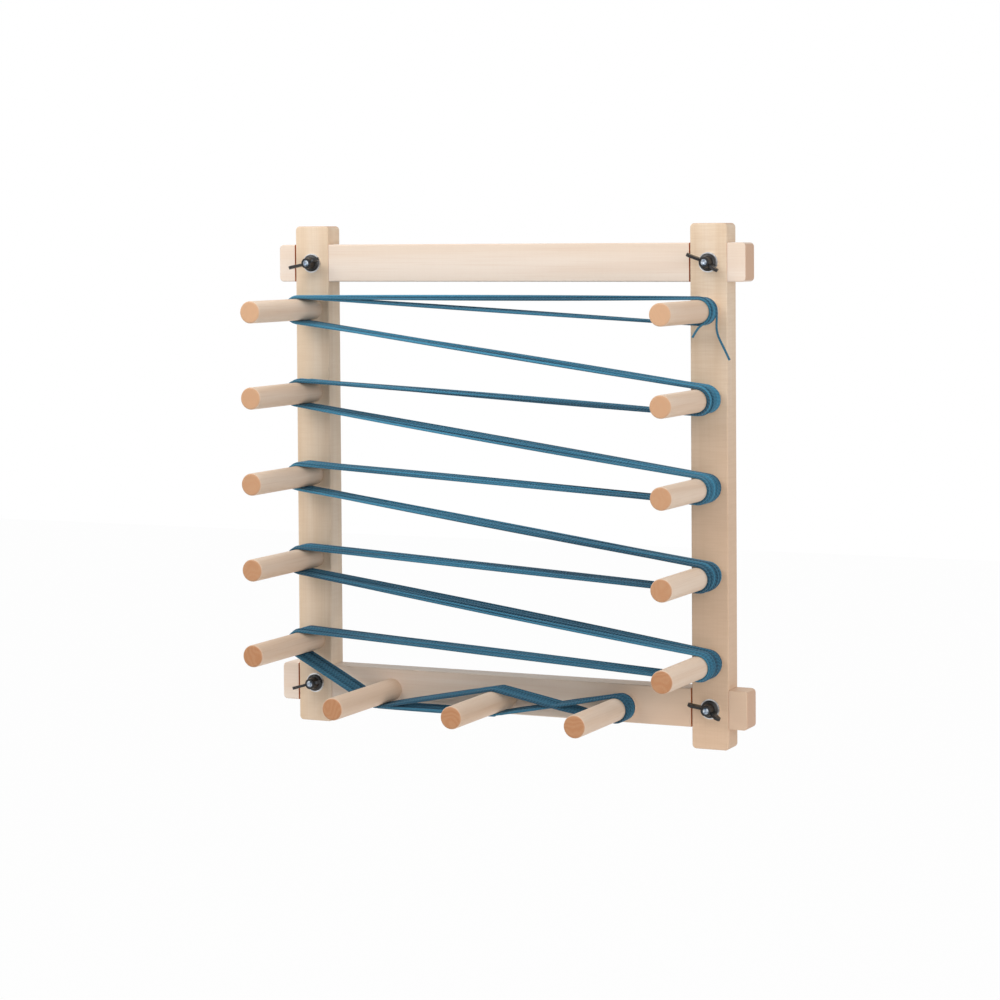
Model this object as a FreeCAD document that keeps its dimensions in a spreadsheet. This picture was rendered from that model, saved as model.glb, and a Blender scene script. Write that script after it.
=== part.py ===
import FreeCAD, Part
import Sketcher
import math
import os

# Warping board: a square frame of two uprights and two rails, halved over each other and
# held by four bolts with wing nuts, thirteen push-fit pegs, and a warp wound on the pegs.
# Frame of the model: X to the right, +Y into the wall, +Z up. The origin is the middle of
# the top rail's back face, so the wall plane is Y = 0 and the pegs point along -Y.

Vec = FreeCAD.Vector
os.makedirs("parts", exist_ok=True)
doc = FreeCAD.newDocument("WarpingBoard")

# Driving sizes in millimetres, apart from the counts and the angles in degrees
SIZES = [
    ("stock_width", 38.1),        # width of the frame's wood
    ("stock_thick", 25.4),        # thickness of the frame's wood
    ("lap_spacing", 435.0),       # between the lap centres, across
    ("lap_rise", 435.0),          # between the lap centres, up
    ("rail_reach", 38.1),         # from a lap centre to the rail's end
    ("head_reach", 38.0),         # from the top lap centre to the uprights' upper ends
    ("foot_reach", 39.8),         # from the bottom lap centre to their lower ends
    ("lap_depth", 12.7),          # wood left in the upright's front at a lap
    ("lap_gap", 1.1),             # open line left of each upright in the rail's notch
    ("lap_fit", 0.2),             # the other fits of a notch on its neighbour
    ("corner_round", 4.2),        # rounded corners at the ends of the wood
    ("edge_ease", 1.2),           # eased long edges
    ("peg_diameter", 22.2),
    ("peg_projection", 132.0),    # in front of the wood
    ("peg_seat", 19.0),           # depth of a peg in its bore
    ("peg_fit", 0.05),            # radial clearance of a peg in its bore
    ("peg_floor_gap", 0.2),       # behind a seated peg
    ("peg_round", 1.8),           # rounded front end
    ("peg_chamfer", 1.0),         # chamfered inner end
    ("peg_count", 5),             # side pegs on each upright
    ("first_peg_rise", 45.4),     # lowest side peg above the bottom lap centre
    ("last_peg_drop", 47.2),      # highest side peg below the top lap centre
    ("cross_spacing", 129.0),     # between the pegs on the bottom rail
    ("cross_count", 3),
    ("cross_drop", 2.0),          # those pegs below the rail's centreline
    ("bolt_diameter", 6.35),
    ("bolt_hole_clear", 0.3),     # radial, in the wood
    ("bolt_point", 14.9),         # bolt end in front of the wood
    ("head_diameter", 15.0),
    ("head_height", 3.6),
    ("head_edge", 0.55),          # straight edge of the head, under its dome
    ("dome_flat", 9.0),           # diameter of the dome's flat top
    ("dome_shoulder", 13.2),      # diameter where the dome turns down
    ("dome_rise", 1.3),           # height of that turn below the flat top
    ("head_clear", 1.0),          # radial, in the counterbore
    ("head_sink", 3.9),           # counterbore depth in the rail's back
    ("neck_width", 6.35),         # square neck under the head
    ("neck_length", 3.8),
    ("neck_overlap", 0.4),        # how far the neck is sunk into the head
    ("neck_clear", 0.1),
    ("thread_pitch", 1.27),
    ("thread_depth", 0.55),
    ("thread_crest", 0.25),       # flat top between two grooves of the thread
    ("thread_root", 0.13),        # flat bottom of a groove
    ("cut_over", 0.1),            # how far a groove's cut starts outside the bolt
    ("thread_rings", 17),
    ("point_chamfer", 0.9),
    ("dish_diameter", 3.2),       # shallow hollow in the bolt's end
    ("dish_depth", 0.5),
    ("washer_diameter", 19.6),
    ("washer_thick", 1.6),
    ("thread_fit", 0.07),         # radial clearance of washer and nut on the bolt
    ("seat_gap", 0.05),           # between wood, washer and nut
    ("flange_diameter", 17.2),    # round base of the wing nut
    ("flange_thick", 2.2),
    ("flange_edge", 1.5),         # straight edge of the base
    ("flange_bevel", 0.8),
    ("boss_bevel", 0.6),
    ("wing_root", 0.8),           # how deep a wing starts inside the boss
    ("boss_foot", 12.4),          # boss diameter where it meets the base
    ("boss_top", 10.8),
    ("nut_height", 12.2),
    ("wing_radius", 14.5),        # from the bolt's axis to the middle of a wing's tip
    ("wing_rise", 16.3),          # that point above the nut's seat
    ("wing_lean", 45.0),          # slope of a wing's edges, in degrees
    ("wing_web", 2.6),            # thickness of a wing
    ("wing_low", 3.2),            # where a wing's lower edge meets the boss
    ("wing_high", 11.0),          # where its upper edge does
    ("tip_diameter", 6.6),
    ("tip_thick", 2.9),
    ("nut_turn_top_left", 16.0),
    ("nut_turn_top_right", -27.0),
    ("nut_turn_bottom_left", 15.0),
    ("nut_turn_bottom_right", -22.0),
    ("yarn_diameter", 1.75),
    ("yarn_clear", 0.35),         # between the yarn and a peg
    ("loops", 8),                 # warp loops, each a pass down and a pass back
    ("pass_pitch", 2.2),          # between neighbouring passes on a peg
    ("start_pitch", 2.3),         # between neighbouring turns on the first peg
    ("end_pitch", 2.8),           # the same on the last peg
    ("band_middle", 20.5),        # middle of the warp in front of the wood
    ("start_middle", 20.2),       # the same on the first peg
    ("end_middle", 19.2),         # the same on the last peg
    ("cross_run", 5.0),           # straight run past the cross before the band narrows
]

# Sizes that follow from the driving ones
WORKED_OUT = [
    # between the side pegs, which stand evenly between the rails
    ("peg_pitch", "=(lap_rise - first_peg_rise - last_peg_drop) / (peg_count - 1)"),
]

sheet = doc.addObject("Spreadsheet::Sheet", "Sizes")
for row, (alias, value) in enumerate(SIZES + WORKED_OUT, start=1):
    sheet.set("A%d" % row, alias)
    sheet.set("B%d" % row, str(value))
    sheet.setAlias("B%d" % row, alias)
doc.recompute()


def size(alias):
    """A size of the sheet as a plain number."""
    return float(sheet.get(alias))


nodes = []


def new_body(label):
    """A body that becomes one piece of the board."""
    body = doc.addObject("PartDesign::Body", label)
    body.Label = label
    nodes.append(body)
    return body


def new_sketch(body, name, forward=None):
    """A sketch on the body's XZ plane, or in front of it by the given formula."""
    sketch = body.newObject("Sketcher::SketchObject", name)
    plane = [f for f in body.Origin.OriginFeatures if f.Role == "XZ_Plane"][0]
    sketch.AttachmentSupport = [(plane, "")]
    sketch.MapMode = "FlatFace"
    if forward:
        sketch.setExpression("AttachmentOffset.Base.z", forward)
    return sketch


def tie(sketch, geometry, vertex, key, across, up):
    """Bind one sketch point to two formulas; None puts it on that axis."""
    for kind, axis, formula, mark in (("DistanceX", -2, across, "x"), ("DistanceY", -1, up, "y")):
        if formula is None:
            sketch.addConstraint(Sketcher.Constraint("PointOnObject", geometry, vertex, axis))
            continue
        index = sketch.addConstraint(Sketcher.Constraint(kind, -1, 1, geometry, vertex, 1.0))
        sketch.renameConstraint(index, key + mark)
        sketch.setExpression("Constraints." + key + mark, formula)


def polygon(body, name, points, forward=None):
    """A closed outline whose corners are (across, up) formulas."""
    sketch = new_sketch(body, name, forward)
    count = len(points)
    ring = [Vec(math.cos(2 * math.pi * i / count), math.sin(2 * math.pi * i / count), 0)
            for i in range(count)]
    for i in range(count):
        sketch.addGeometry(Part.LineSegment(ring[i], ring[(i + 1) % count]), False)
    for i in range(count):
        sketch.addConstraint(Sketcher.Constraint("Coincident", i, 2, (i + 1) % count, 1))
    for i, (across, up) in enumerate(points):
        tie(sketch, i, 1, "corner%d" % i, across, up)
    return sketch


def rectangle(body, name, left, low, width, height, forward=None):
    """An upright rectangle from its lower left corner; None is a corner on the axis."""
    right = width if left is None else left + " + " + width
    top = height if low is None else low + " + " + height
    return polygon(body, name, [(left, low), (right, low), (right, top), (left, top)], forward)


def circle(body, name, across, up, diameter, forward=None):
    """A circle about a point given by two formulas."""
    sketch = new_sketch(body, name, forward)
    sketch.addGeometry(Part.Circle(Vec(1, 1, 0), Vec(0, 0, 1), 1), False)
    tie(sketch, 0, 3, "middle", across, up)
    index = sketch.addConstraint(Sketcher.Constraint("Diameter", 0, 2.0))
    sketch.renameConstraint(index, "bore")
    sketch.setExpression("Constraints.bore", diameter)
    return sketch


def pad(body, name, sketch, length, midplane=False):
    """A plate from a sketch, towards -Y or to both sides of it."""
    feature = body.newObject("PartDesign::Pad", name)
    feature.Profile = sketch
    feature.setExpression("Length", length)
    feature.Midplane = midplane
    return feature


def pocket(body, name, sketch, depth, from_back):
    """A cut into the wood from its back or from its front."""
    feature = body.newObject("PartDesign::Pocket", name)
    feature.Profile = sketch
    feature.setExpression("Length", depth)
    feature.Reversed = from_back
    return feature


def turn(body, name, sketch, kind="PartDesign::Revolution"):
    """A turned shape, or a turned groove, about the sketch's upright axis."""
    feature = body.newObject(kind, name)
    feature.Profile = sketch
    feature.ReferenceAxis = (sketch, ["V_Axis"])
    feature.Angle = 360.0
    return feature


def pattern(body, name, originals, sketch, axis, length, count):
    """The same cuts again along a line of the sketch."""
    feature = body.newObject("PartDesign::LinearPattern", name)
    feature.Originals = originals
    feature.Direction = (sketch, [axis])
    feature.setExpression("Length", length)
    feature.setExpression("Occurrences", count)
    body.Tip = feature
    return feature


def dress(body, name, kind, base, edges, size_name, formula):
    """A fillet or chamfer on the named edges of a finished feature."""
    feature = body.newObject(kind, name)
    feature.Base = (base, edges)
    feature.setExpression(size_name, formula)
    return feature


def edge_names(shape, wanted):
    """The names of the edges for which wanted(edge) holds."""
    return ["Edge%d" % (i + 1) for i, edge in enumerate(shape.Edges) if wanted(edge)]


def along_y(edge):
    """An edge through the wood's thickness."""
    first, last = edge.Vertexes[0].Point, edge.Vertexes[-1].Point
    return abs(first.x - last.x) < 0.001 and abs(first.z - last.z) < 0.001


def on_a_face(edge):
    """An edge that lies in the front or the back face of the wood."""
    box = edge.BoundBox
    return box.YLength < 0.001


def put(body, across, back, up, turned=None):
    """Place a body by three formulas, turned first where it stands on its own axis."""
    body.Placement = FreeCAD.Placement(Vec(0, 0, 0), turned or FreeCAD.Rotation())
    for axis, formula in (("x", across), ("y", back), ("z", up)):
        if formula:
            body.setExpression("Placement.Base." + axis, formula)


# From the body's own upright axis to -Y, towards the user
FORWARD = FreeCAD.Rotation(Vec(1, 0, 0), 90)


def plank(label, width, height):
    """One length of the frame's wood, corners rounded and edges eased."""
    body = new_body(label)
    outline = rectangle(body, label + "_outline", None, None, width, height)
    blank = pad(body, label + "_blank", outline, "Sizes.stock_thick")
    doc.recompute()
    corners = edge_names(blank.Shape, along_y)
    rounded = dress(body, label + "_corners", "PartDesign::Fillet", blank, corners,
                    "Radius", "Sizes.corner_round")
    doc.recompute()
    rims = edge_names(rounded.Shape, on_a_face)
    dress(body, label + "_eased", "PartDesign::Fillet", rounded, rims,
          "Radius", "Sizes.edge_ease")
    return body


BOLT_HOLE = "Sizes.bolt_diameter + 2 * Sizes.bolt_hole_clear"
PEG_BORE = "Sizes.peg_diameter + 2 * Sizes.peg_fit"
PEG_BORE_DEPTH = "Sizes.peg_seat + Sizes.peg_floor_gap"
TOP_LAP = "0"
BOTTOM_LAP = "-Sizes.lap_rise"


def upright(label, side):
    """An upright: notched at the back over the rails, with a column of peg bores."""
    body = plank(label, "Sizes.stock_width",
                 "Sizes.lap_rise + Sizes.head_reach + Sizes.foot_reach")
    notch_sketch = rectangle(
        body, label + "_notch_outline", "-1 * Sizes.stock_width",
        "Sizes.foot_reach - Sizes.stock_width / 2 - Sizes.lap_fit",
        "3 * Sizes.stock_width", "Sizes.stock_width + 2 * Sizes.lap_fit")
    notch = pocket(body, label + "_notch", notch_sketch,
                   "Sizes.stock_thick - Sizes.lap_depth", True)
    hole_sketch = circle(body, label + "_hole_outline", "Sizes.stock_width / 2",
                         "Sizes.foot_reach", BOLT_HOLE)
    hole = pocket(body, label + "_hole", hole_sketch, "Sizes.stock_thick", True)
    pattern(body, label + "_laps", [notch, hole], hole_sketch, "V_Axis", "Sizes.lap_rise", "2")
    bore_sketch = circle(body, label + "_bore_outline", "Sizes.stock_width / 2",
                         "Sizes.foot_reach + Sizes.first_peg_rise", PEG_BORE,
                         "Sizes.stock_thick")
    bore = pocket(body, label + "_bore", bore_sketch, PEG_BORE_DEPTH, False)
    pattern(body, label + "_bores", [bore], bore_sketch, "V_Axis",
            "Sizes.peg_pitch * (Sizes.peg_count - 1)", "Sizes.peg_count")
    put(body, "%d * Sizes.lap_spacing / 2 - Sizes.stock_width / 2" % side, None,
        BOTTOM_LAP + " - Sizes.foot_reach")
    return body


def rail(label, lap_height, with_bores):
    """A rail: notched in front, counterbored at the back for the bolt heads."""
    body = plank(label, "Sizes.lap_spacing + 2 * Sizes.rail_reach", "Sizes.stock_width")
    notch_sketch = rectangle(
        body, label + "_notch_outline",
        "Sizes.rail_reach - Sizes.stock_width / 2 - Sizes.lap_gap",
        "-1 * Sizes.stock_width", "Sizes.stock_width + Sizes.lap_gap + Sizes.lap_fit",
        "3 * Sizes.stock_width", "Sizes.stock_thick")
    notch = pocket(body, label + "_notch", notch_sketch, "Sizes.lap_depth", False)
    hole_sketch = circle(body, label + "_hole_outline", "Sizes.rail_reach",
                         "Sizes.stock_width / 2", BOLT_HOLE)
    hole = pocket(body, label + "_hole", hole_sketch, "Sizes.stock_thick", True)
    sink_sketch = circle(body, label + "_sink_outline", "Sizes.rail_reach",
                         "Sizes.stock_width / 2", "Sizes.head_diameter + 2 * Sizes.head_clear")
    sink = pocket(body, label + "_sink", sink_sketch, "Sizes.head_sink", True)
    neck_side = "Sizes.neck_width + 2 * Sizes.neck_clear"
    neck_sketch = rectangle(
        body, label + "_neck_outline", "Sizes.rail_reach - Sizes.neck_width / 2 - Sizes.neck_clear",
        "Sizes.stock_width / 2 - Sizes.neck_width / 2 - Sizes.neck_clear", neck_side, neck_side)
    neck = pocket(body, label + "_neck", neck_sketch,
                  "Sizes.head_sink + Sizes.neck_length + Sizes.neck_clear", True)
    pattern(body, label + "_laps", [notch, hole, sink, neck], hole_sketch, "H_Axis",
            "Sizes.lap_spacing", "2")
    if with_bores:
        bore_sketch = circle(
            body, label + "_bore_outline",
            "Sizes.rail_reach + Sizes.lap_spacing / 2"
            " - Sizes.cross_spacing * (Sizes.cross_count - 1) / 2",
            "Sizes.stock_width / 2 - Sizes.cross_drop", PEG_BORE, "Sizes.stock_thick")
        bore = pocket(body, label + "_bore", bore_sketch, PEG_BORE_DEPTH, False)
        pattern(body, label + "_bores", [bore], bore_sketch, "H_Axis",
                "Sizes.cross_spacing * (Sizes.cross_count - 1)", "Sizes.cross_count")
    put(body, "-Sizes.lap_spacing / 2 - Sizes.rail_reach", None,
        lap_height + " - Sizes.stock_width / 2")
    return body


upright("left_upright", -1)
upright("right_upright", 1)
rail("top_rail", TOP_LAP, False)
rail("bottom_rail", BOTTOM_LAP, True)


# Pegs: plain dowels, rounded at the front end and chamfered at the inner end
def peg(label, across, up):
    """One peg, standing in its bore."""
    body = new_body(label)
    radius = "Sizes.peg_diameter / 2"
    length = "Sizes.peg_seat + Sizes.peg_projection"
    profile = polygon(body, label + "_profile", [
        (None, None), (radius + " - Sizes.peg_chamfer", None), (radius, "Sizes.peg_chamfer"),
        (radius, length), (None, length)])
    dowel = turn(body, label + "_dowel", profile)
    doc.recompute()
    end = dowel.Shape.BoundBox.ZMax
    rim = edge_names(dowel.Shape, lambda edge: edge.BoundBox.ZMin > end - 0.001)
    dress(body, label + "_round", "PartDesign::Fillet", dowel, rim, "Radius", "Sizes.peg_round")
    put(body, across, "Sizes.peg_seat - Sizes.stock_thick", up, FORWARD)
    return body


for number in range(1, int(size("peg_count")) + 1):
    height = BOTTOM_LAP + " + Sizes.first_peg_rise + Sizes.peg_pitch * (Sizes.peg_count - %d)"
    for side, name in ((-1, "left"), (1, "right")):
        peg("%s_peg_%d" % (name, number), "%d * Sizes.lap_spacing / 2" % side, height % number)
for number in range(1, int(size("cross_count")) + 1):
    place = "Sizes.cross_spacing * (%d - (Sizes.cross_count + 1) / 2)" % number
    peg("cross_peg_%d" % number, place, BOTTOM_LAP + " - Sizes.cross_drop")


# Bolts: domed head and square neck in the rail's back, thread rings towards the front
HEAD_FACE = "Sizes.head_sink - Sizes.head_height"
BOLT_LENGTH = "Sizes.stock_thick + Sizes.bolt_point - Sizes.head_sink + Sizes.head_height"


def bolt(label, across, up):
    """One carriage bolt, head at the bottom of its own axis."""
    body = new_body(label)
    radius = "Sizes.bolt_diameter / 2"
    profile = polygon(body, label + "_profile", [
        (None, None), ("Sizes.dome_flat / 2", None), ("Sizes.dome_shoulder / 2", "Sizes.dome_rise"),
        ("Sizes.head_diameter / 2", "Sizes.head_height - Sizes.head_edge"),
        ("Sizes.head_diameter / 2", "Sizes.head_height"), (radius, "Sizes.head_height"),
        (radius, BOLT_LENGTH + " - Sizes.point_chamfer"),
        (radius + " - Sizes.point_chamfer", BOLT_LENGTH), ("Sizes.dish_diameter / 2", BOLT_LENGTH),
        (None, BOLT_LENGTH + " - Sizes.dish_depth")])
    turn(body, label + "_blank", profile)
    half = "Sizes.neck_width / 2"
    neck_outline = rectangle(body, label + "_neck_outline", "-1 * " + half,
                             "Sizes.head_height - Sizes.neck_overlap", "Sizes.neck_width",
                             "Sizes.neck_length + Sizes.neck_overlap")
    pad(body, label + "_neck", neck_outline, "Sizes.neck_width", True)
    top = BOLT_LENGTH + " - Sizes.point_chamfer - Sizes.thread_pitch"
    deep = radius + " - Sizes.thread_depth"
    outside = radius + " + Sizes.cut_over"
    mouth = "(Sizes.thread_pitch - Sizes.thread_crest) / 2"
    groove_outline = polygon(body, label + "_groove_outline", [
        (outside, top + " - " + mouth), (deep, top + " - Sizes.thread_root / 2"),
        (deep, top + " + Sizes.thread_root / 2"), (outside, top + " + " + mouth)])
    groove = turn(body, label + "_groove", groove_outline, "PartDesign::Groove")
    rings = pattern(body, label + "_thread", [groove], groove_outline, "V_Axis",
                    "Sizes.thread_pitch * (Sizes.thread_rings - 1)", "Sizes.thread_rings")
    rings.Reversed = True
    put(body, across, "-1 * (" + HEAD_FACE + ")", up, FORWARD)
    return body


def washer(label, across, up):
    """One plain washer on the upright's face."""
    body = new_body(label)
    hole = "Sizes.bolt_diameter / 2 + Sizes.thread_fit"
    rim = "Sizes.washer_diameter / 2"
    profile = polygon(body, label + "_profile", [
        (hole, None), (rim, None), (rim, "Sizes.washer_thick"), (hole, "Sizes.washer_thick")])
    turn(body, label + "_ring", profile)
    put(body, across, "-1 * (Sizes.stock_thick + Sizes.seat_gap)", up, FORWARD)
    return body


def wing_nut(label, across, up, turned):
    """One wing nut: flanged base, tapered boss and two raised wings with thick tips."""
    body = new_body(label)
    hole = "Sizes.bolt_diameter / 2 + Sizes.thread_fit"
    profile = polygon(body, label + "_profile", [
        (hole, None), ("Sizes.flange_diameter / 2", None),
        ("Sizes.flange_diameter / 2", "Sizes.flange_edge"),
        ("Sizes.flange_diameter / 2 - Sizes.flange_bevel", "Sizes.flange_thick"),
        ("Sizes.boss_foot / 2", "Sizes.flange_thick + Sizes.boss_bevel"),
        ("Sizes.boss_top / 2", "Sizes.nut_height - Sizes.boss_bevel"),
        ("Sizes.boss_top / 2 - Sizes.boss_bevel", "Sizes.nut_height"), (hole, "Sizes.nut_height")])
    turn(body, label + "_boss", profile)
    root = "Sizes.boss_top / 2 - Sizes.wing_root"
    out = "Sizes.tip_diameter / 2 * sin(Sizes.wing_lean)"
    over = "Sizes.tip_diameter / 2 * cos(Sizes.wing_lean)"
    web_outline = polygon(body, label + "_web_outline", [
        (root, "Sizes.wing_low"), ("Sizes.boss_foot / 2", "Sizes.wing_low"),
        ("Sizes.wing_radius + " + out, "Sizes.wing_rise - " + over),
        ("Sizes.wing_radius - " + out, "Sizes.wing_rise + " + over),
        (root, "Sizes.wing_high")])
    web = pad(body, label + "_web", web_outline, "Sizes.wing_web", True)
    tip_outline = circle(body, label + "_tip_outline", "Sizes.wing_radius", "Sizes.wing_rise",
                         "Sizes.tip_diameter")
    bead = pad(body, label + "_tip", tip_outline, "Sizes.tip_thick", True)
    pair = body.newObject("PartDesign::PolarPattern", label + "_wings")
    pair.Originals = [web, bead]
    pair.Axis = (web_outline, ["V_Axis"])
    pair.Angle = 360.0
    pair.Occurrences = 2
    body.Tip = pair
    own_turn = FreeCAD.Rotation(Vec(0, 0, 1), turned)
    put(body, across, "-1 * (Sizes.stock_thick + Sizes.washer_thick + 2 * Sizes.seat_gap)", up,
        FORWARD.multiply(own_turn))
    return body


for level, lap in (("top", TOP_LAP), ("bottom", BOTTOM_LAP)):
    for side, name in ((-1, "left"), (1, "right")):
        corner = level + "_" + name
        column = "%d * Sizes.lap_spacing / 2" % side
        bolt(corner + "_bolt", column, lap)
        washer(corner + "_washer", column, lap)
        wing_nut(corner + "_wing_nut", column, lap, size("nut_turn_" + corner))


# Warp: one yarn that goes from the first right peg down the board to the last cross peg
# and back again, round after round, crossing itself between the last two cross pegs
YARN_RADIUS = size("yarn_diameter") / 2
WRAP_RADIUS = size("peg_diameter") / 2 + size("yarn_clear") + YARN_RADIUS
FRONT = -size("stock_thick")
PASSES = 2 * int(size("loops"))
COUNTER_CLOCKWISE = 1
CLOCKWISE = -1
WARP_END_ANGLE = 0.0                # round the first peg, where both tails leave the warp
LONGEST_ARC = math.radians(100)     # a longer way round a peg is made of two arcs


def side_peg(side, number):
    """Middle of a side peg, counted from the top, as (x, z)."""
    low = size("first_peg_rise") - size("lap_rise")
    return (side * size("lap_spacing") / 2,
            low + size("peg_pitch") * (size("peg_count") - number))


def cross_peg(number):
    """Middle of a cross peg, counted from the left, as (x, z)."""
    return (size("cross_spacing") * (number - (size("cross_count") + 1) / 2),
            -size("lap_rise") - size("cross_drop"))


def pass_depth(number):
    """How far along Y a pass lies on the side pegs; the last is nearest the wood."""
    return FRONT - size("band_middle") + size("pass_pitch") * (number - (PASSES - 1) / 2)


def start_depth(number):
    """The same for a turn on the first peg."""
    return FRONT - size("start_middle") + size("start_pitch") * (number - size("loops") / 2)


def end_depth(number):
    """The same for a turn on the last cross peg."""
    return FRONT - size("end_middle") + size("end_pitch") * (number - (size("loops") - 1) / 2)


def warp_stops():
    """Each peg the warp goes round, as (middle, sense, depth there)."""
    last_side = int(size("peg_count"))
    last_cross = int(size("cross_count"))
    middle_pegs = []
    for number in range(1, last_side + 1):
        if number > 1:
            middle_pegs.append((side_peg(1, number), CLOCKWISE))
        middle_pegs.append((side_peg(-1, number), COUNTER_CLOCKWISE))
    middle_pegs.append((cross_peg(1), COUNTER_CLOCKWISE))
    stops = []
    for number in range(PASSES):
        depth = pass_depth(number)
        down = number % 2 == 0
        inner = [(cross_peg(k), CLOCKWISE, depth) for k in range(2, last_cross)]
        main = [(middle, sense, depth) for middle, sense in middle_pegs]
        if down:
            stops.append((side_peg(1, 1), COUNTER_CLOCKWISE, start_depth(number // 2)))
            stops += main + inner
            stops.append((cross_peg(last_cross), COUNTER_CLOCKWISE, end_depth(number // 2)))
        else:
            stops += inner + [(middle, -sense, place) for middle, sense, place in reversed(main)]
    stops.append((side_peg(1, 1), CLOCKWISE, start_depth(size("loops"))))
    return stops


def wrap_point(middle, angle, depth):
    """A point of the yarn's centreline on a peg."""
    return Vec(middle[0] + WRAP_RADIUS * math.cos(angle), depth,
               middle[1] + WRAP_RADIUS * math.sin(angle))


def leaving_angles(first, second):
    """Where a straight run touches two pegs, from their middles and senses."""
    (x1, z1), sense1 = first[0], first[1]
    (x2, z2), sense2 = second[0], second[1]
    heading = math.atan2(z2 - z1, x2 - x1)
    distance = math.hypot(x2 - x1, z2 - z1)
    heading -= math.asin((sense2 - sense1) * WRAP_RADIUS / distance)
    return heading - sense1 * math.pi / 2, heading - sense2 * math.pi / 2


def shifted_run(first, last):
    """Two arcs from one point to another that start and end along their level heading."""
    level = Vec(last.x - first.x, 0, last.z - first.z)
    shift = Vec(0, last.y - first.y, 0)
    half_turn = math.atan2(shift.Length, level.Length)
    radius = level.Length / 2 / math.sin(2 * half_turn)
    level.normalize()
    shift.normalize()
    # from either end to the middle of its own arc
    reach = level * (radius * math.sin(half_turn))
    rise = shift * (radius * (1 - math.cos(half_turn)))
    middle = (first + last) * 0.5
    return [Part.Arc(first, first + reach + rise, middle).toShape(),
            Part.Arc(middle, last - reach - rise, last).toShape()]


def warp_path():
    """The edges of the warp's centreline, runs between pegs and arcs round them."""
    stops = warp_stops()
    edges = []
    arrival = WARP_END_ANGLE
    last_cross = cross_peg(int(size("cross_count")))
    for index, stop in enumerate(stops):
        middle, sense, depth = stop
        if index + 1 < len(stops):
            departure, next_arrival = leaving_angles(stop, stops[index + 1])
        else:
            departure = WARP_END_ANGLE
        sweep = (departure - arrival) * sense % (2 * math.pi)
        pieces = 1 if sweep < LONGEST_ARC else 2
        for piece in range(pieces):
            angles = [arrival + sense * sweep * (piece + part) / pieces for part in (0, 0.5, 1)]
            points = [wrap_point(middle, angle, depth) for angle in angles]
            edges.append(Part.Arc(*points).toShape())
        if index + 1 == len(stops):
            break
        follower = stops[index + 1]
        leave = wrap_point(middle, departure, depth)
        arrive = wrap_point(follower[0], next_arrival, follower[2])
        if abs(leave.y - arrive.y) < 0.001:
            edges.append(Part.LineSegment(leave, arrive).toShape())
        elif last_cross in (middle, follower[0]):
            edges += cross_run(leave, arrive, follower[0] == last_cross)
        else:
            edges += shifted_run(leave, arrive)
        arrival = next_arrival
    return edges


def cross_run(leave, arrive, towards_end):
    """The run past the cross: straight up to it, then narrowing to the last peg."""
    level = Vec(arrive.x - leave.x, 0, arrive.z - leave.z)
    straight = level.Length / 2 + size("cross_run")
    level.normalize()
    if towards_end:
        knee = leave + level * straight
        return [Part.LineSegment(leave, knee).toShape()] + shifted_run(knee, arrive)
    knee = arrive - level * straight
    return shifted_run(leave, knee) + [Part.LineSegment(knee, arrive).toShape()]


def tube(edges, diameter):
    """A round yarn along a path of edges that meet tangentially."""
    path = Part.Wire(edges)
    first = edges[0]
    start = first.valueAt(first.FirstParameter)
    heading = first.tangentAt(first.FirstParameter)
    ring = Part.Wire([Part.Circle(start, heading, diameter / 2).toShape()])
    return path.makePipeShell([ring], True, False)


def least_gap(edges, diameter, step=1.5, skip=12.0):
    """The least gap between points of the yarn that are further apart along it than skip."""
    points = []
    travelled = 0.0
    for edge in edges:
        count = max(2, int(edge.Length / step) + 1)
        for point in edge.discretize(Number=count)[:-1]:
            points.append((travelled, point))
            travelled += edge.Length / (count - 1)
    cell = 2 * diameter
    grid = {}
    for index, (along, point) in enumerate(points):
        key = (int(point.x // cell), int(point.y // cell), int(point.z // cell))
        grid.setdefault(key, []).append(index)
    least = cell
    near = [(i, j, k) for i in (-1, 0, 1) for j in (-1, 0, 1) for k in (-1, 0, 1)]
    for key, members in grid.items():
        around = []
        for i, j, k in near:
            around += grid.get((key[0] + i, key[1] + j, key[2] + k), [])
        for index in members:
            along, point = points[index]
            for other in around:
                if other > index and points[other][0] - along > skip:
                    least = min(least, (points[other][1] - point).Length)
    return least - diameter


warp_edges = warp_path()
warp_shape = tube(warp_edges, size("yarn_diameter"))
warp_length = sum(edge.Length for edge in warp_edges)
warp_section = math.pi * YARN_RADIUS ** 2
print("warp: edges %d, length %.1f mm, volume over section times length %.5f"
      % (len(warp_edges), warp_length, warp_shape.Volume / (warp_section * warp_length)))
print("warp: least gap to itself %.2f mm" % least_gap(warp_edges, size("yarn_diameter")))


def new_solid(label, shape):
    """A piece whose shape is worked out here."""
    feature = doc.addObject("Part::Feature", label)
    feature.Label = label
    feature.Shape = shape
    nodes.append(feature)
    return feature


new_solid("warp_yarn", warp_shape)


# Tails: the two cut ends of the warp, hanging from the first peg
CORNER_SHARE = 0.45     # of the shorter run beside a corner, which its arc takes up


def cord_path(points):
    """Straight runs joined by arcs as large as the runs allow, with the arcs' radii."""
    edges = []
    radii = []
    start = points[0]
    for before, corner, after in zip(points, points[1:], points[2:]):
        into = before - corner
        out = after - corner
        angle = math.pi - into.getAngle(out)
        cut = CORNER_SHARE * min(into.Length, out.Length)
        radii.append(cut / math.tan(angle / 2))
        into.normalize()
        out.normalize()
        first = corner + into * cut
        last = corner + out * cut
        inward = into + out
        inward.normalize()
        middle = corner + inward * (radii[-1] / math.cos(angle / 2) - radii[-1])
        edges.append(Part.LineSegment(start, first).toShape())
        edges.append(Part.Arc(first, middle, last).toShape())
        start = last
    edges.append(Part.LineSegment(start, points[-1]).toShape())
    return edges, radii


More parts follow.
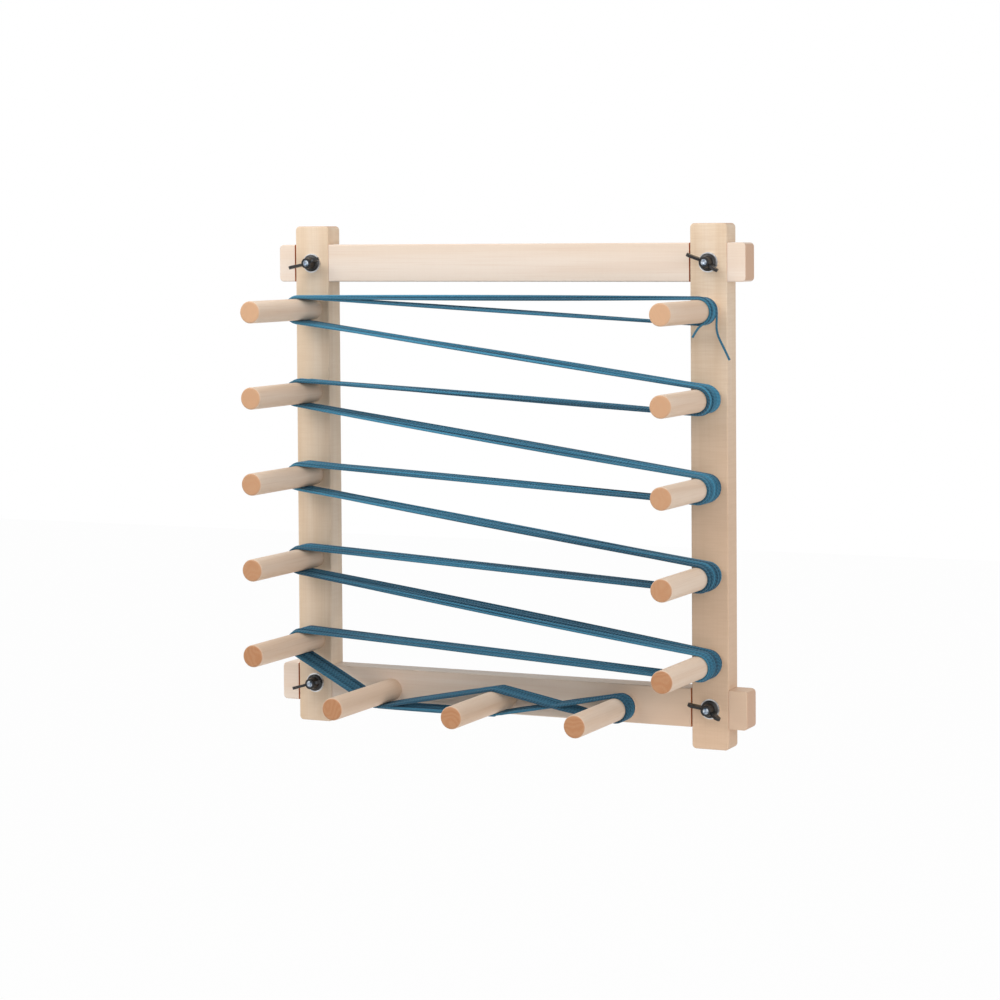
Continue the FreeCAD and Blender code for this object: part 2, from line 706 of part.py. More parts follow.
def tail(label, depth, route):
    """A tail from the warp's end on the first peg; its route is measured from the peg's middle."""
    middle = side_peg(1, 1)
    points = [wrap_point(middle, WARP_END_ANGLE, depth)]
    points += [Vec(middle[0] + x, depth + y, middle[1] + z) for x, y, z in route]
    edges, radii = cord_path(points)
    shape = tube(edges, size("yarn_diameter"))
    length = sum(edge.Length for edge in edges)
    print("%s: length %.1f mm, volume over section times length %.4f, radii %s"
          % (label, length, shape.Volume / (warp_section * length),
             " ".join("%.1f" % radius for radius in radii)))
    print("%s: points %s" % (label, [tuple(round(c, 2) for c in point) for point in points]))
    new_solid(label, shape)


# the short tail follows the peg for a stretch, then leaves it to the left
tail("yarn_tail_short", start_depth(0),
     [(WRAP_RADIUS, 0.0, -2.95), (9.6, 0.0, -8.2), (4.9, 0.0, -11.7), (0.4, 0.3, -15.1),
      (-3.1, 0.5, -19.7), (-6.2, 0.8, -24.8)])
# the long one falls from the peg's side and swings outwards and to the right
tail("yarn_tail_long", start_depth(size("loops")),
     [(WRAP_RADIUS, 0.0, -7.7), (12.4, -1.8, -15.6), (14.4, -3.0, -23.4), (18.4, -3.8, -30.6),
      (22.6, -3.9, -38.5), (26.4, -3.3, -46.9)])


# Checks before anything is written
doc.recompute()
failed = [item.Name for item in doc.Objects if "Invalid" in item.State or "Error" in item.State]
if failed:
    raise RuntimeError("not right: " + ", ".join(failed))
for node in nodes:
    if node.Shape.isNull() or not node.Shape.isValid():
        raise RuntimeError(node.Label + " has no valid shape")
for node in nodes:
    node.Shape.exportStep("parts/" + node.Label + ".step")
print("pieces written: %d" % len(nodes))
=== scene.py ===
import bpy
import math
import random
from mathutils import Matrix, Vector


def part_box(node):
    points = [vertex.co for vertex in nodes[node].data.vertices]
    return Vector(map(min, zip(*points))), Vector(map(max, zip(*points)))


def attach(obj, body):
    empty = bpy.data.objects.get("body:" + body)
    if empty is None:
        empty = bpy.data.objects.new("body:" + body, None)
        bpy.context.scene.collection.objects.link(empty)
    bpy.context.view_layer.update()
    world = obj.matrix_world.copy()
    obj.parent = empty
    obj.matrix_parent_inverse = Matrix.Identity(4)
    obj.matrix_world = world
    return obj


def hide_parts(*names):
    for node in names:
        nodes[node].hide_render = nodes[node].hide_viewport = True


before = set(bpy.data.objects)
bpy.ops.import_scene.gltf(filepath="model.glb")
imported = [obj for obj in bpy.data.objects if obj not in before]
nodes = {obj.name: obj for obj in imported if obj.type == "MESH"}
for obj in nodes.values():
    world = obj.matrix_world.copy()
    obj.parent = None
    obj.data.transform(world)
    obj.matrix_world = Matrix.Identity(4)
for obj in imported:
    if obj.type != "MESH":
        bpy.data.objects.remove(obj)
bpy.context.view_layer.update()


# Camera: a long lens in front of the board and to its right, level with the top rail. Its
# place, turn and length come from the corners of the frame and the pegs in the photo, which
# is a crop: the lens's axis meets it above its middle row.
PHOTO_SIDE = 1000
SENSOR_WIDTH = 36.0
FOCAL_PIXELS = 2789.3
AXIS_ROW = 325.0
EYE = Vector((1.1500, -2.5707, 0.0265))
YAW, PITCH, ROLL = 0.4259, 0.0318, -0.0067

ahead = Vector((-math.sin(YAW) * math.cos(PITCH), math.cos(YAW) * math.cos(PITCH),
                -math.sin(PITCH)))
level_right = Vector((math.cos(YAW), math.sin(YAW), 0))
level_up = level_right.cross(ahead)
right = level_right * math.cos(ROLL) + level_up * math.sin(ROLL)
up = level_up * math.cos(ROLL) - level_right * math.sin(ROLL)
camera_data = bpy.data.cameras.new("camera")
camera_data.sensor_width = SENSOR_WIDTH
camera_data.lens = FOCAL_PIXELS / PHOTO_SIDE * SENSOR_WIDTH
camera_data.shift_y = (AXIS_ROW - PHOTO_SIDE / 2) / PHOTO_SIDE
camera = bpy.data.objects.new("camera", camera_data)
camera.matrix_world = Matrix.Translation(EYE) @ Matrix((right, up, -ahead)).transposed().to_4x4()
bpy.context.scene.collection.objects.link(camera)
bpy.context.scene.camera = camera


# Frame wood: two uprights and two rails of pale hard maple, 38 x 25 mm, halved over each
# other. The grain runs along each piece, with fine pores, faint curl across it, and a
# warmer, darker end grain. The wood is sanded and oiled, with its long edges eased.
class Socket:
    """A socket of a material: arithmetic on it adds Math nodes, and node() adds any other."""

    def __init__(self, tree, link):
        self.tree = tree
        self.link = link

    def node(self, kind, settings=None, inputs=None, out=0):
        """A new node: its type, its settings, then the values or links of its sockets."""
        made = self.tree.nodes.new(kind)
        for name, value in (settings or {}).items():
            setattr(made, name, value)
        for key, value in (inputs or {}).items():
            if isinstance(value, Socket):
                self.tree.links.new(value.link, made.inputs[key])
            else:
                made.inputs[key].default_value = value
        return Socket(self.tree, made.outputs[out])

    def maths(self, operation, *values):
        return self.node("ShaderNodeMath", {"operation": operation}, dict(enumerate(values)))

    def __add__(self, other):
        return self.maths("ADD", self, other)

    def __sub__(self, other):
        return self.maths("SUBTRACT", self, other)

    def __rsub__(self, other):
        return self.maths("SUBTRACT", other, self)

    def __mul__(self, other):
        return self.maths("MULTIPLY", self, other)

    def __pow__(self, other):
        return self.maths("POWER", self, other)

    __radd__ = __add__
    __rmul__ = __mul__

    def sine(self):
        return self.maths("SINE", self)

    def step(self, low, high, start=0.0, end=1.0):
        """From start to end, smoothly, as this goes from low to high."""
        return self.node("ShaderNodeMapRange", {"interpolation_type": "SMOOTHSTEP"},
                         {0: self, 1: low, 2: high, 3: start, 4: end})

    def mixed(self, first, second):
        """First colour to second as this goes from 0 to 1."""
        return self.node("ShaderNodeMix", {"data_type": "RGBA"},
                         {0: self, 6: first, 7: second}, out=2)

    def scaled(self, x, y, z):
        """This point, stretched along each axis."""
        return self.node("ShaderNodeVectorMath", {"operation": "MULTIPLY"}, {0: self, 1: (x, y, z)})

    def noise(self, scale, detail=2.0, roughness=0.5, distortion=0.0):
        return self.node("ShaderNodeTexNoise", None,
                         {"Vector": self, "Scale": scale, "Detail": detail,
                          "Roughness": roughness, "Distortion": distortion})


def linear(red, green, blue):
    """A colour on the 0 to 255 scale of a screen as the renderer's own values."""
    parts = []
    for value in (red, green, blue):
        value /= 255
        parts.append(value / 12.92 if value <= 0.04045 else ((value + 0.055) / 1.055) ** 2.4)
    return (*parts, 1.0)


def new_material(name):
    """An empty material, its shader, and a starting socket: the point on the object."""
    material = bpy.data.materials.new(name)
    material.use_nodes = True
    tree = material.node_tree
    shader = tree.nodes["Principled BSDF"]
    coordinates = tree.nodes.new("ShaderNodeTexCoord")
    return material, shader, Socket(tree, coordinates.outputs["Object"])


def feed(shader, **values):
    """Give the shader its sockets: links for what varies, numbers for the rest."""
    for name, value in values.items():
        socket = shader.inputs[name.replace("_", " ")]
        if isinstance(value, Socket):
            value.tree.links.new(value.link, socket)
        else:
            socket.default_value = value


ALONG = {"x": (1, 0, 0), "y": (0, 1, 0), "z": (0, 0, 1)}
# a red-brown for the end grain in the notches: the end grain's own colour deepened by painted shade
# and warm reflected light in the laps' narrow gaps
NOTCH_SHADE_BROWN = linear(206, 118, 68)
NOTCH_SHADE_EDGE = 0.001
TANNED = linear(227, 195, 166)
BAND_STRETCH, FIBRE_STRETCH, CURL_STRETCH = 0.05, 0.015, 0.07
GROWTH_WAVES, GROWTH_SHARPNESS, RING_WAVES = 30.0, 5.0, 110.0
GROWTH_SHARE, LINE_SHARE, CURL_SHARE, PORE_SHARE = 0.24, 0.16, 0.30, 0.16
RING_SHARE, GRAINY_SHARE = 0.22, 0.22
WOOD_ROUGH, WOOD_ROUGH_SPREAD = 0.46, 0.16
SHARP_FROM = math.radians(32)


def wood(name, grain, offset, pale, warm, streak, end, curl, notch_shade_inside=0.0,
         tanned=(-1.0, -0.9, 0.0, 0.0), flat_end=(0.55, 0.85)):
    """Maple with its grain along one axis; offset moves the figure, so no two pieces match.
    notch_shade_inside is how far from the middle the end grain of the notches is painted
    red-brown, its own colour deepened by painted shade and warm reflected light in the laps'
    gaps; tanned is the stretch along the grain over which the wood turns tanner, and how much
    it is at the stretch's two ends."""
    material, shader, point = new_material(name)
    axis = ALONG[grain]
    place = point.node("ShaderNodeVectorMath", {"operation": "ADD"}, {0: point, 1: offset})

    def stretched(along, across):
        return place.scaled(*[along * part + across * (1 - part) for part in axis])

    # broad bands, growth lines, fine lines and pores run along the grain, the curl across it
    board, fibre = stretched(BAND_STRETCH, 1), stretched(FIBRE_STRETCH, 1)
    ripple = stretched(1, CURL_STRETCH)
    bands = board.noise(30.0, detail=3.0, roughness=0.55, distortion=0.5).step(0.34, 0.68)
    growth = board.noise(19.0, detail=2.0, roughness=0.4, distortion=0.3)
    growth = ((growth * GROWTH_WAVES).sine() * 0.5 + 0.5) ** GROWTH_SHARPNESS
    lines = fibre.noise(700.0, detail=2.0, roughness=0.6)
    pores = fibre.noise(2600.0, detail=1.0, roughness=0.5).step(0.62, 0.74)
    figure = ripple.noise(480.0, detail=2.0, roughness=0.6, distortion=0.3).step(0.38, 0.66)
    reach = point.node("ShaderNodeVectorMath", {"operation": "DOT_PRODUCT"},
                       {0: point, 1: axis}, out=1)
    side = bands.mixed(pale, warm)
    side = reach.step(*tanned).mixed(side, TANNED)
    side = (growth * GROWTH_SHARE + lines.step(0.45, 0.75) * LINE_SHARE).mixed(side, streak)
    side = (figure * (CURL_SHARE * curl)).mixed(side, streak)
    side = (pores * PORE_SHARE).mixed(side, streak)
    rings = (place.noise(26.0, detail=2.0, roughness=0.4) * RING_WAVES).sine() * 0.5 + 0.5
    grainy = place.noise(1500.0, detail=2.0, roughness=0.6)
    face = (rings * RING_SHARE + grainy.step(0.4, 0.7) * GRAINY_SHARE).mixed(end, streak)
    # in the notches the end grain is painted red-brown: painted shade and warm reflected light of
    # the laps' gaps over its own colour
    if notch_shade_inside:
        beyond = reach.maths("ABSOLUTE", reach).step(notch_shade_inside, notch_shade_inside + NOTCH_SHADE_EDGE)
        face = beyond.mixed(NOTCH_SHADE_BROWN, face)
    normal = point.node("ShaderNodeNewGeometry", out=1)
    facing = point.node("ShaderNodeVectorMath", {"operation": "DOT_PRODUCT"},
                        {0: normal, 1: axis}, out=1)
    at_end = facing.maths("ABSOLUTE", facing).step(*flat_end)
    height = lines * 0.5 + pores * -0.6 + figure * 0.25
    bump = height.node("ShaderNodeBump", None, {"Strength": 0.2, "Distance": 0.0002,
                                               "Height": height})
    feed(shader, Base_Color=at_end.mixed(side, face),
         Roughness=WOOD_ROUGH + lines * WOOD_ROUGH_SPREAD, Normal=bump, IOR=1.45)
    return material


def dress(node, material):
    """Give a carried-over piece its material, with round stretches shaded smooth."""
    piece = nodes[node]
    piece.data.materials.clear()
    piece.data.materials.append(material)
    piece.data.shade_smooth()
    piece.data.set_sharp_from_angle(angle=SHARP_FROM)


RAIL_PALE = linear(244, 228, 213)
RAIL_WARM = linear(239, 219, 200)
RAIL_STREAK = linear(221, 188, 162)
UPRIGHT_PALE = linear(241, 221, 198)
UPRIGHT_WARM = linear(234, 209, 180)
UPRIGHT_STREAK = linear(210, 176, 140)
FRAME_END = linear(216, 176, 146)
LAP_SPAN = 0.245
RAIL_START = 0.74


def frame_figure(order, start=0.0):
    """Where in the figure a piece of the frame lies, so that no two match."""
    return (0.37 * order + start, 0.21 * order, 0.53 * order)


for order, node in enumerate(("top_rail", "bottom_rail")):
    dress(node, wood(node + "_maple", "x", frame_figure(order, RAIL_START),
                     RAIL_PALE, RAIL_WARM, RAIL_STREAK, FRAME_END, curl=0.1,
                     notch_shade_inside=LAP_SPAN, tanned=(0.0, 0.22, 0.0, 0.9 * order)))
for order, node in enumerate(("left_upright", "right_upright")):
    dress(node, wood(node + "_maple", "z", frame_figure(order),
                     UPRIGHT_PALE, UPRIGHT_WARM, UPRIGHT_STREAK, FRAME_END,
                     curl=0.35 + 0.3 * order, tanned=(-0.28, 0.0, 0.1 + 0.9 * order, 0.0)))


# Pegs: thirteen maple dowels pushed into blind bores, five on each upright and three on the
# bottom rail. They are turned, with a rounded front edge, and their end grain shows orange,
# painted darker from the top row down as shade for the weaker light low on the board.
PEG_PALE = linear(241, 219, 198)
PEG_WARM = linear(232, 203, 177)
PEG_STREAK = linear(206, 166, 130)
# end grain colour of the top row, and a darker one for the bottom row and the cross pegs: the
# darkening is painted shade for the weaker light low on the board
END_TOP_ROW = Vector(linear(217, 172, 135))
END_SHADED_LOW = Vector(linear(184, 127, 86))
PEG_ROWS, CROSS_PEGS = 5, 3
side_pegs = range(1, PEG_ROWS + 1)
peg_rows = [("%s_peg_%d" % (side, number), number) for side in ("left", "right")
            for number in side_pegs]
peg_rows += [("cross_peg_%d" % number, PEG_ROWS) for number in range(1, CROSS_PEGS + 1)]
for order, (node, row) in enumerate(peg_rows):
    offset = (0.13 * order, 0.41 * order + 0.2, 0.29 * order)
    # painted shade: each row's end colour is darker than the row above
    end_color = tuple(END_TOP_ROW.lerp(END_SHADED_LOW, (row - 1) / (PEG_ROWS - 1)))
    dress(node, wood(node + "_maple", "y", offset, PEG_PALE, PEG_WARM, PEG_STREAK, end_color,
                     curl=0.1, flat_end=(0.3, 0.97)))


# Bolts and washers: quarter-inch steel with bright zinc, heads sunk in the rails' backs and
# points showing in the nuts. The wing nuts are cast and black, with half a gloss.
BOLT_DULL, BOLT_LIGHT = linear(120, 136, 156), linear(196, 204, 212)
WASHER_DULL, WASHER_LIGHT = linear(206, 207, 210), linear(230, 230, 230)
BLACK, WORN_BLACK = linear(17, 16, 17), linear(40, 37, 36)


def zinc(name, dull, light):
    """Zinc-coated steel, duller in patches."""
    material, shader, point = new_material(name)
    grain = point.noise(900.0, detail=3.0, roughness=0.6)
    tone = point.noise(420.0, detail=2.0)
    feed(shader, Base_Color=tone.step(0.35, 0.65).mixed(dull, light), Metallic=1.0,
         Roughness=0.26 + grain * 0.16)
    return material


def black_cast():
    """Cast metal, black, with a fine skin and a few paler spots of wear."""
    material, shader, point = new_material("black_cast")
    cast = point.noise(1400.0, detail=2.0, roughness=0.5)
    wear = point.noise(260.0, detail=3.0, roughness=0.6).step(0.66, 0.78)
    bump = cast.node("ShaderNodeBump", None, {"Strength": 0.3, "Distance": 0.0002, "Height": cast})
    feed(shader, Base_Color=wear.mixed(BLACK, WORN_BLACK), Roughness=0.30 + cast * 0.14,
         Normal=bump)
    return material


bolt_zinc = zinc("bolt_zinc", BOLT_DULL, BOLT_LIGHT)
washer_zinc = zinc("washer_zinc", WASHER_DULL, WASHER_LIGHT)
black = black_cast()
for corner in ("top_left", "top_right", "bottom_left", "bottom_right"):
    dress(corner + "_bolt", bolt_zinc)
    dress(corner + "_washer", washer_zinc)
    dress(corner + "_wing_nut", black)


# Warp: one plied cotton yarn wound from the first right peg down the board to the last cross
# peg and back, eight times round, so sixteen strands lie side by side on the side pegs. It
# crosses itself between the last two cross pegs. Each strand is a tube with its plies' twist.
STRAND = 0.0012
LOOPS = 8
PASSES = 2 * LOOPS
PASS_PITCH, START_PITCH, END_PITCH = 0.0022, 0.0023, 0.0028
BAND_MIDDLE, START_MIDDLE, END_MIDDLE = 0.0205, 0.0202, 0.0192
CROSS_RUN = 0.005
ANTICLOCKWISE, CLOCKWISE = 1, -1
WRAP_STEP = math.radians(13)
RUN_STEP = 0.018
FULL_RUN, LONG_RUN = 0.43, 0.3
RIDING, RIDING_SHARE, OUTER_PASSES = 0.0013, 0.4, 2
UNEVEN_LIFT, UNEVEN_DRIFT, UNEVEN_SLACK, UNEVEN_SWAY = 0.0003, 0.0002, 0.0016, 0.0005


def peg_middle(node):
    """A peg's middle as the front of the board shows it, to the right and up."""
    low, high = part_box(node)
    return ((low.x + high.x) / 2, (low.z + high.z) / 2)


wood_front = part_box("right_upright")[0].y
peg_low, peg_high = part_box("right_peg_1")
wrap_radius = (peg_high.x - peg_low.x) / 2 + STRAND
first_peg, last_peg = peg_middle("right_peg_1"), peg_middle("cross_peg_3")


def warp_stops():
    """Each peg that the warp goes round, as its middle, the sense, and the depth there."""
    shared = []
    for number in side_pegs:
        if number > 1:
            shared.append((peg_middle("right_peg_%d" % number), CLOCKWISE))
        shared.append((peg_middle("left_peg_%d" % number), ANTICLOCKWISE))
    shared.append((peg_middle("cross_peg_1"), ANTICLOCKWISE))
    stops = []
    for number in range(PASSES):
        depth = wood_front - BAND_MIDDLE + PASS_PITCH * (number - (PASSES - 1) / 2)
        inner = [(peg_middle("cross_peg_2"), CLOCKWISE, depth)]
        main = [(middle, sense, depth) for middle, sense in shared]
        if number % 2 == 0:
            half = number // 2
            start = wood_front - START_MIDDLE + START_PITCH * (half - LOOPS / 2)
            end = wood_front - END_MIDDLE + END_PITCH * (half - (LOOPS - 1) / 2)
            stops.append((first_peg, ANTICLOCKWISE, start))
            stops += main + inner
            stops.append((last_peg, ANTICLOCKWISE, end))
        else:
            stops += inner + [(middle, -sense, place) for middle, sense, place in reversed(main)]
    stops.append((first_peg, CLOCKWISE, wood_front - START_MIDDLE + START_PITCH * LOOPS / 2))
    return stops


def touch_angles(first, second):
    """Where the straight run between two pegs touches each of them."""
    (x1, z1), sense1 = first[0], first[1]
    (x2, z2), sense2 = second[0], second[1]
    heading = math.atan2(z2 - z1, x2 - x1)
    heading -= math.asin((sense2 - sense1) * wrap_radius / math.hypot(x2 - x1, z2 - z1))
    return heading - sense1 * math.pi / 2, heading - sense2 * math.pi / 2


def on_peg(middle, angle, depth, lift):
    """A point of the centreline on a peg, lifted off the wood where it rides on a strand."""
    reach = wrap_radius + lift
    return Vector((middle[0] + reach * math.cos(angle), depth, middle[1] + reach * math.sin(angle)))


def eased(share):
    """From 0 to 1 with a soft start and end."""
    return share * share * (3 - 2 * share)


def warp_points():
    """The warp's centreline, with the small unevenness of a hand-wound yarn."""
    rng = random.Random(11)
    stops = warp_stops()
    ends = (first_peg, last_peg)
    points, arrival, lift = [], 0.0, 0.0
    for index, (middle, sense, depth) in enumerate(stops):
        final = index + 1 == len(stops)
        departure, next_arrival, next_lift = 0.0, 0.0, 0.0
        if not final:
            follower = stops[index + 1]
            departure, next_arrival = touch_angles(stops[index], follower)
            # inside the band a strand here and there rides on its neighbours
            number = sum(1 for stop in stops[1:index + 2] if stop[0] in ends)
            inside = OUTER_PASSES <= number < PASSES - OUTER_PASSES
            rides = rng.random() < RIDING_SHARE and inside and follower[0] not in ends
            next_lift = RIDING * rides + rng.uniform(0.0, UNEVEN_LIFT)
        sweep = (departure - arrival) * sense % (2 * math.pi)
        count = max(2, int(sweep / WRAP_STEP))
        drift = 0.0 if index == 0 or final else rng.uniform(-UNEVEN_DRIFT, UNEVEN_DRIFT)
        for part in range(count + 1):
            share = part / count
            ease = math.sin(math.pi * share)
            points.append(on_peg(middle, arrival + sense * sweep * share, depth + drift * ease,
                                 lift + (next_lift - lift) * share))
        lift = next_lift
        if final:
            break
        leave = on_peg(middle, departure, depth, lift)
        arrive = on_peg(follower[0], next_arrival, follower[2], lift)
        run = (arrive - leave).length
        slack = rng.uniform(-UNEVEN_SLACK, UNEVEN_SLACK) * run / FULL_RUN
        sway = rng.uniform(-UNEVEN_SWAY, UNEVEN_SWAY) * min(1.0, run / LONG_RUN)
        waves = max(4, int(run / RUN_STEP))
        crossing = last_peg in (middle, follower[0])
        for part in range(1, waves):
            share = part / waves
            move = eased(share)
            if crossing:
                # the strand moves along the last peg only beyond the place where it crosses
                begin = 0.5 + CROSS_RUN / run
                late = share if follower[0] == last_peg else 1 - share
                late = eased(max(0.0, (late - begin) / (1 - begin)))
                move = late if follower[0] == last_peg else 1 - late
            point = leave.lerp(arrive, share)
            point.y = leave.y + (arrive.y - leave.y) * move + sway * math.sin(math.pi * share)
            point.z -= slack * 4 * share * (1 - share)
            points.append(point)
        arrival = next_arrival
    return points


RING_SIDES = 8
MERGE_WITHIN = 0.2
CAP_SHARP_FROM = math.radians(60)


def tube_mesh(name, points, radius):
    """A tube along points, with its length and its way round kept as the strand's map.
    Points nearer to each other than a share of the radius are one ring."""
    mesh = bpy.data.meshes.new(name)
    clean = [points[0]]
    for point in points[1:]:
        if (point - clean[-1]).length > radius * MERGE_WITHIN:
            clean.append(point)
    headings = []
    for index in range(len(clean)):
        before, after = clean[max(0, index - 1)], clean[min(len(clean) - 1, index + 1)]
        headings.append((after - before).normalized())
    side = headings[0].orthogonal().normalized()
    vertices, lengths, travelled = [], [], 0.0
    for index, (point, heading) in enumerate(zip(clean, headings)):
        if index:
            travelled += (point - clean[index - 1]).length
            side = side - heading * side.dot(heading)
            side.normalize()
        other = heading.cross(side)
        lengths.append(travelled)
        for corner in range(RING_SIDES):
            angle = 2 * math.pi * corner / RING_SIDES
            vertices.append(point + side * (radius * math.cos(angle))
                            + other * (radius * math.sin(angle)))
    faces, corners = [], []
    for ring in range(len(clean) - 1):
        for corner in range(RING_SIDES):
            following = (corner + 1) % RING_SIDES
            faces.append((ring * RING_SIDES + corner, ring * RING_SIDES + following,
                          (ring + 1) * RING_SIDES + following, (ring + 1) * RING_SIDES + corner))
            for step, along in ((0, 0), (1, 0), (1, 1), (0, 1)):
                corners.append((lengths[ring + along], (corner + step) / RING_SIDES))
    for ring, turned in ((0, True), (len(clean) - 1, False)):
        cap = [ring * RING_SIDES + corner for corner in range(RING_SIDES)]
        faces.append(tuple(reversed(cap)) if turned else tuple(cap))
        corners += [(lengths[ring], 0.0)] * RING_SIDES
    mesh.from_pydata([tuple(v) for v in vertices], [], faces)
    layer = mesh.uv_layers.new(name="strand")
    for loop, pair in enumerate(corners):
        layer.data[loop].uv = pair
    mesh.shade_smooth()
    mesh.set_sharp_from_angle(angle=CAP_SHARP_FROM)
    piece = bpy.data.objects.new(name, mesh)
    bpy.context.scene.collection.objects.link(piece)
    return piece


# the yarn's colour runs from the yarn in shade to the yarn in light: the tone along each strand is
# partly its own and partly painted shade between strands, and the ply stripes are painted shade in
# the grooves between plies
YARN_SHADE = linear(8, 46, 68)
YARN_LIGHT = linear(72, 150, 184)
YARN_FUZZ = linear(84, 150, 174)
TONE_SHARE, PLY_SHARE, FUZZ_SHARE = 0.75, 0.25, 0.22
# heights over which painted shade darkens the yarn downward, and the share of its tone left at the
# lowest
SHADE_FULL_HEIGHT, SHADE_START_HEIGHT, SHADED_TONE_SHARE = -0.44, -0.12, 0.5
PLIES, PLY_LENGTH, PLY_WANDER = 2.0, 0.0032, 1.5


def yarn():
    """Plied cotton: diagonal plies, loose fibres, and a tone that varies along the length,
    with painted shade making it darker low on the board."""
    material, shader, point = new_material("petrol_yarn")
    strand = point.node("ShaderNodeUVMap", {"uv_map": "strand"})
    along = strand.node("ShaderNodeSeparateXYZ", None, {0: strand}, out=0)
    around = strand.node("ShaderNodeSeparateXYZ", None, {0: strand}, out=1)
    slow = along.node("ShaderNodeCombineXYZ", None, {0: along})
    height = point.node("ShaderNodeSeparateXYZ", None, {0: point}, out=2)
    tone = slow.noise(2.3, detail=1.0, roughness=0.4).step(0.36, 0.64)
    # painted shade: the yarn is darker low on the board, where less light falls
    tone = tone * height.step(SHADE_FULL_HEIGHT, SHADE_START_HEIGHT, SHADED_TONE_SHARE, 1.0)
    wander = slow.noise(70.0, detail=2.0, roughness=0.5)
    turn = (along * (1 / PLY_LENGTH) + around * PLIES + wander * PLY_WANDER) * (2 * math.pi)
    # painted shade: the ply twist darkens the grooves between the plies
    ply = turn.sine() * 0.5 + 0.5
    fuzz = point.noise(2600.0, detail=2.0, roughness=0.6)
    color = (tone * TONE_SHARE + ply * PLY_SHARE).mixed(YARN_SHADE, YARN_LIGHT)
    color = (fuzz.step(0.45, 0.75) * FUZZ_SHARE).mixed(color, YARN_FUZZ)
    relief = ply ** 0.6 * 0.7 + fuzz * 0.4
    bump = relief.node("ShaderNodeBump", None, {"Strength": 0.45, "Distance": 0.0003,
                                               "Height": relief})
    feed(shader, Base_Color=color, Roughness=0.86, Normal=bump, Sheen_Weight=0.2,
         Sheen_Roughness=0.5, IOR=1.4)
    return material


petrol = yarn()
warp = tube_mesh("warp_strands", warp_points(), STRAND)
warp.data.materials.append(petrol)
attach(warp, "root")
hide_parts("warp_yarn")


# Tails: the two cut ends of the same yarn, free and limp. Both leave the first right peg at
# its outer side, the short one in front of the warp and the long one behind it, by the wood.
TAIL = 0.00116
LINE_STEPS = 10


def cord_line(name, route):
    """The smooth line of a route, as a spline with the route's points as control points."""
    curve = bpy.data.curves.new(name, "CURVE")
    curve.dimensions = "3D"
    spline = curve.splines.new("NURBS")
    spline.points.add(len(route) - 1)
    for target, point in zip(spline.points, route):
        target.co = (*point, 1.0)
    spline.order_u = 3
    spline.use_endpoint_u = True
    spline.resolution_u = LINE_STEPS
    holder = bpy.data.objects.new(name, curve)
    bpy.context.scene.collection.objects.link(holder)
    bpy.context.view_layer.update()
    mesh = bpy.data.meshes.new_from_object(holder)
    points = [vertex.co.copy() for vertex in mesh.vertices]
    bpy.data.objects.remove(holder)
    bpy.data.meshes.remove(mesh)
    return points


SHORT_ROUTE = [(0.22983, -0.0548, -0.0472), (0.22983, -0.0548, -0.05015),
               (0.2271, -0.0548, -0.0554), (0.2224, -0.0548, -0.0589),
               (0.2179, -0.0545, -0.0623), (0.2144, -0.0543, -0.0669),
               (0.2113, -0.0540, -0.0720)]
LONG_ROUTE = [(0.22983, -0.0364, -0.0472), (0.22983, -0.0364, -0.0549),
              (0.2299, -0.0382, -0.0628), (0.2319, -0.0394, -0.0706),
              (0.2359, -0.0402, -0.0778), (0.2401, -0.0403, -0.0857),
              (0.2439, -0.0397, -0.0941)]
for name, node, route in (("tail_short", "yarn_tail_short", SHORT_ROUTE),
                          ("tail_long", "yarn_tail_long", LONG_ROUTE)):
    line = cord_line(name, route)
    tail = tube_mesh(name, line, TAIL)
    tail.data.materials.append(petrol)
    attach(tail, "root")
    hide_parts(node)


# Studio: a pale floor far below the hanging board, white all round, one large soft lamp
# from the upper left in front and one from the camera's side, so the shadows fall down and to
# the right and stay pale.
FLOOR_LEVEL, FLOOR_HALF, FLOOR_SEEN = -1.0, 6.0, 0.97
PALE = (0.8, 0.8, 0.8, 1.0)
WHITE = (1.0, 1.0, 1.0, 1.0)
ABOVE_LEVEL, BELOW_LEVEL, SKY_BLEND = 0.64, 0.14, 0.8


def seen_directly(start):
    """1 for what the camera, a gloss or a glass sees, 0 for what only lights the object."""
    path = start.tree.nodes.new("ShaderNodeLightPath")
    camera_ray, glossy, through = (Socket(start.tree, path.outputs[name]) for name in (
        "Is Camera Ray", "Is Glossy Ray", "Is Transmission Ray"))
    return start.maths("MINIMUM", camera_ray + glossy + through, 1.0)


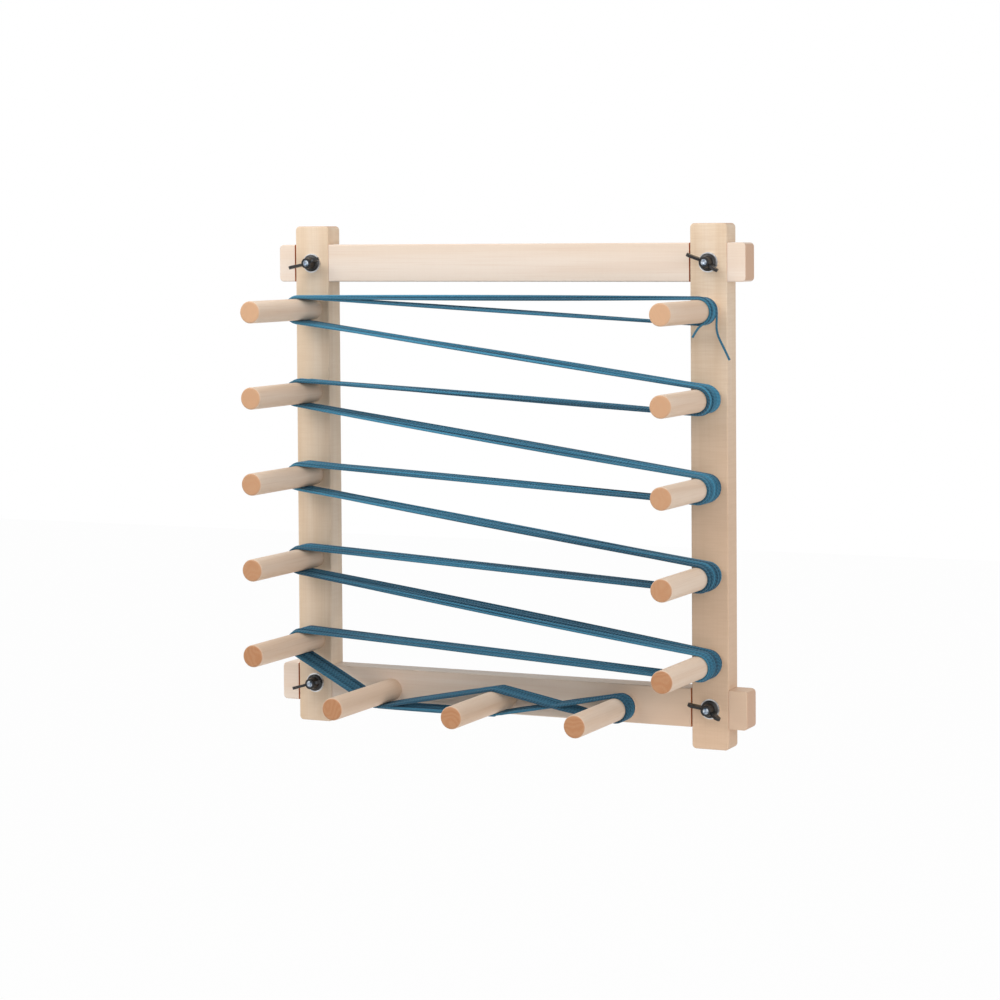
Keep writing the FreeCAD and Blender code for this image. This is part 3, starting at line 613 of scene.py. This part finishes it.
floor_mesh = bpy.data.meshes.new("floor")
floor_mesh.from_pydata([(x * FLOOR_HALF, y * FLOOR_HALF, FLOOR_LEVEL)
                        for x, y in ((-1, -1), (1, -1), (1, 1), (-1, 1))], [], [(0, 1, 2, 3)])
floor = bpy.data.objects.new("floor", floor_mesh)
bpy.context.scene.collection.objects.link(floor)
floor_material = bpy.data.materials.new("pale_floor")
floor_material.use_nodes = True
floor_tree = floor_material.node_tree
floor_shader = floor_tree.nodes["Principled BSDF"]
feed(floor_shader, Base_Color=PALE, Roughness=0.9)
start = Socket(floor_tree, floor_shader.outputs[0])
glow = start.node("ShaderNodeEmission", None, {"Color": WHITE, "Strength": 1.0})
blend = start.node("ShaderNodeMixShader", None,
                   {0: seen_directly(start) * FLOOR_SEEN, 1: start, 2: glow})
floor_tree.links.new(blend.link, floor_tree.nodes["Material Output"].inputs["Surface"])
floor_mesh.materials.append(floor_material)

world = bpy.data.worlds.new("studio")
world.use_nodes = True
bpy.context.scene.world = world
world_tree = world.node_tree
background = world_tree.nodes["Background"]
start = Socket(world_tree, background.outputs[0])
background.inputs["Color"].default_value = WHITE
skyward = start.node("ShaderNodeSeparateXYZ", None,
                     {0: start.node("ShaderNodeTexCoord")}, out=2)
around = skyward.step(-SKY_BLEND, SKY_BLEND, BELOW_LEVEL, ABOVE_LEVEL)
direct = seen_directly(start)
world_level = direct + (1 - direct) * around
world_tree.links.new(world_level.link, background.inputs["Strength"])


def lamp(name, place, target, width, power, color):
    """A square soft lamp that faces a point of the board."""
    data = bpy.data.lights.new(name, "AREA")
    data.size = width
    data.energy = power
    data.color = color
    light = bpy.data.objects.new(name, data)
    light.location = place
    light.rotation_euler = (Vector(target) - Vector(place)).to_track_quat("-Z", "Y").to_euler()
    bpy.context.scene.collection.objects.link(light)


lamp("key", place=(-0.7, -1.05, 1.1), target=(0.0, 0.0, -0.15), width=1.1, power=14.5,
     color=(1.0, 0.985, 0.965))
lamp("fill", place=(1.5, -1.7, 0.1), target=(0.0, 0.0, -0.22), width=1.4, power=14.0,
     color=(1.0, 0.985, 0.975))

bpy.context.scene.view_settings.view_transform = "Standard"
